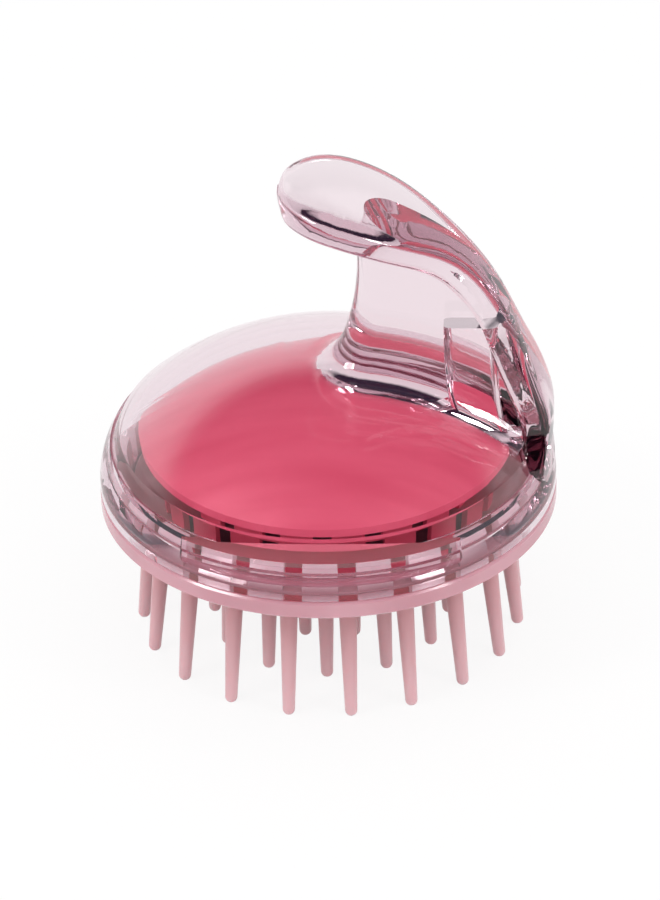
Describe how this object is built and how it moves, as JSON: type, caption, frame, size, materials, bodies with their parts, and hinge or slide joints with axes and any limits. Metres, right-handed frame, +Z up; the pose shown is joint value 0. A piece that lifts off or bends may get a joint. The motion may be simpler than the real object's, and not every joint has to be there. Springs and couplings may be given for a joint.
{
  "type": "scalp massager brush",
  "caption": "Palm-held scalp massager: a clear domed cover with a leaf-shaped palm handle over a rose plate, on a round base of soft tapered teeth.",
  "frame": {"origin": "centre of the round body, in the plane of the tooth tips", "axes": "+Z up through the dome, +X towards the leg of the handle, XZ the handle's plane of symmetry"},
  "size_m": [0.085, 0.085, 0.0943],
  "materials": {
    "clear_cover": "gloss",
    "rose_plate": "gloss",
    "tooth_pad": "satin",
    "base_plate": "gloss"
  },
  "bodies": {
    "root": {"clear_cover": "clear_cover", "rose_plate": "rose_plate", "tooth_pad": "tooth_pad", "base_plate": "base_plate"}
  },
  "joints": []
}
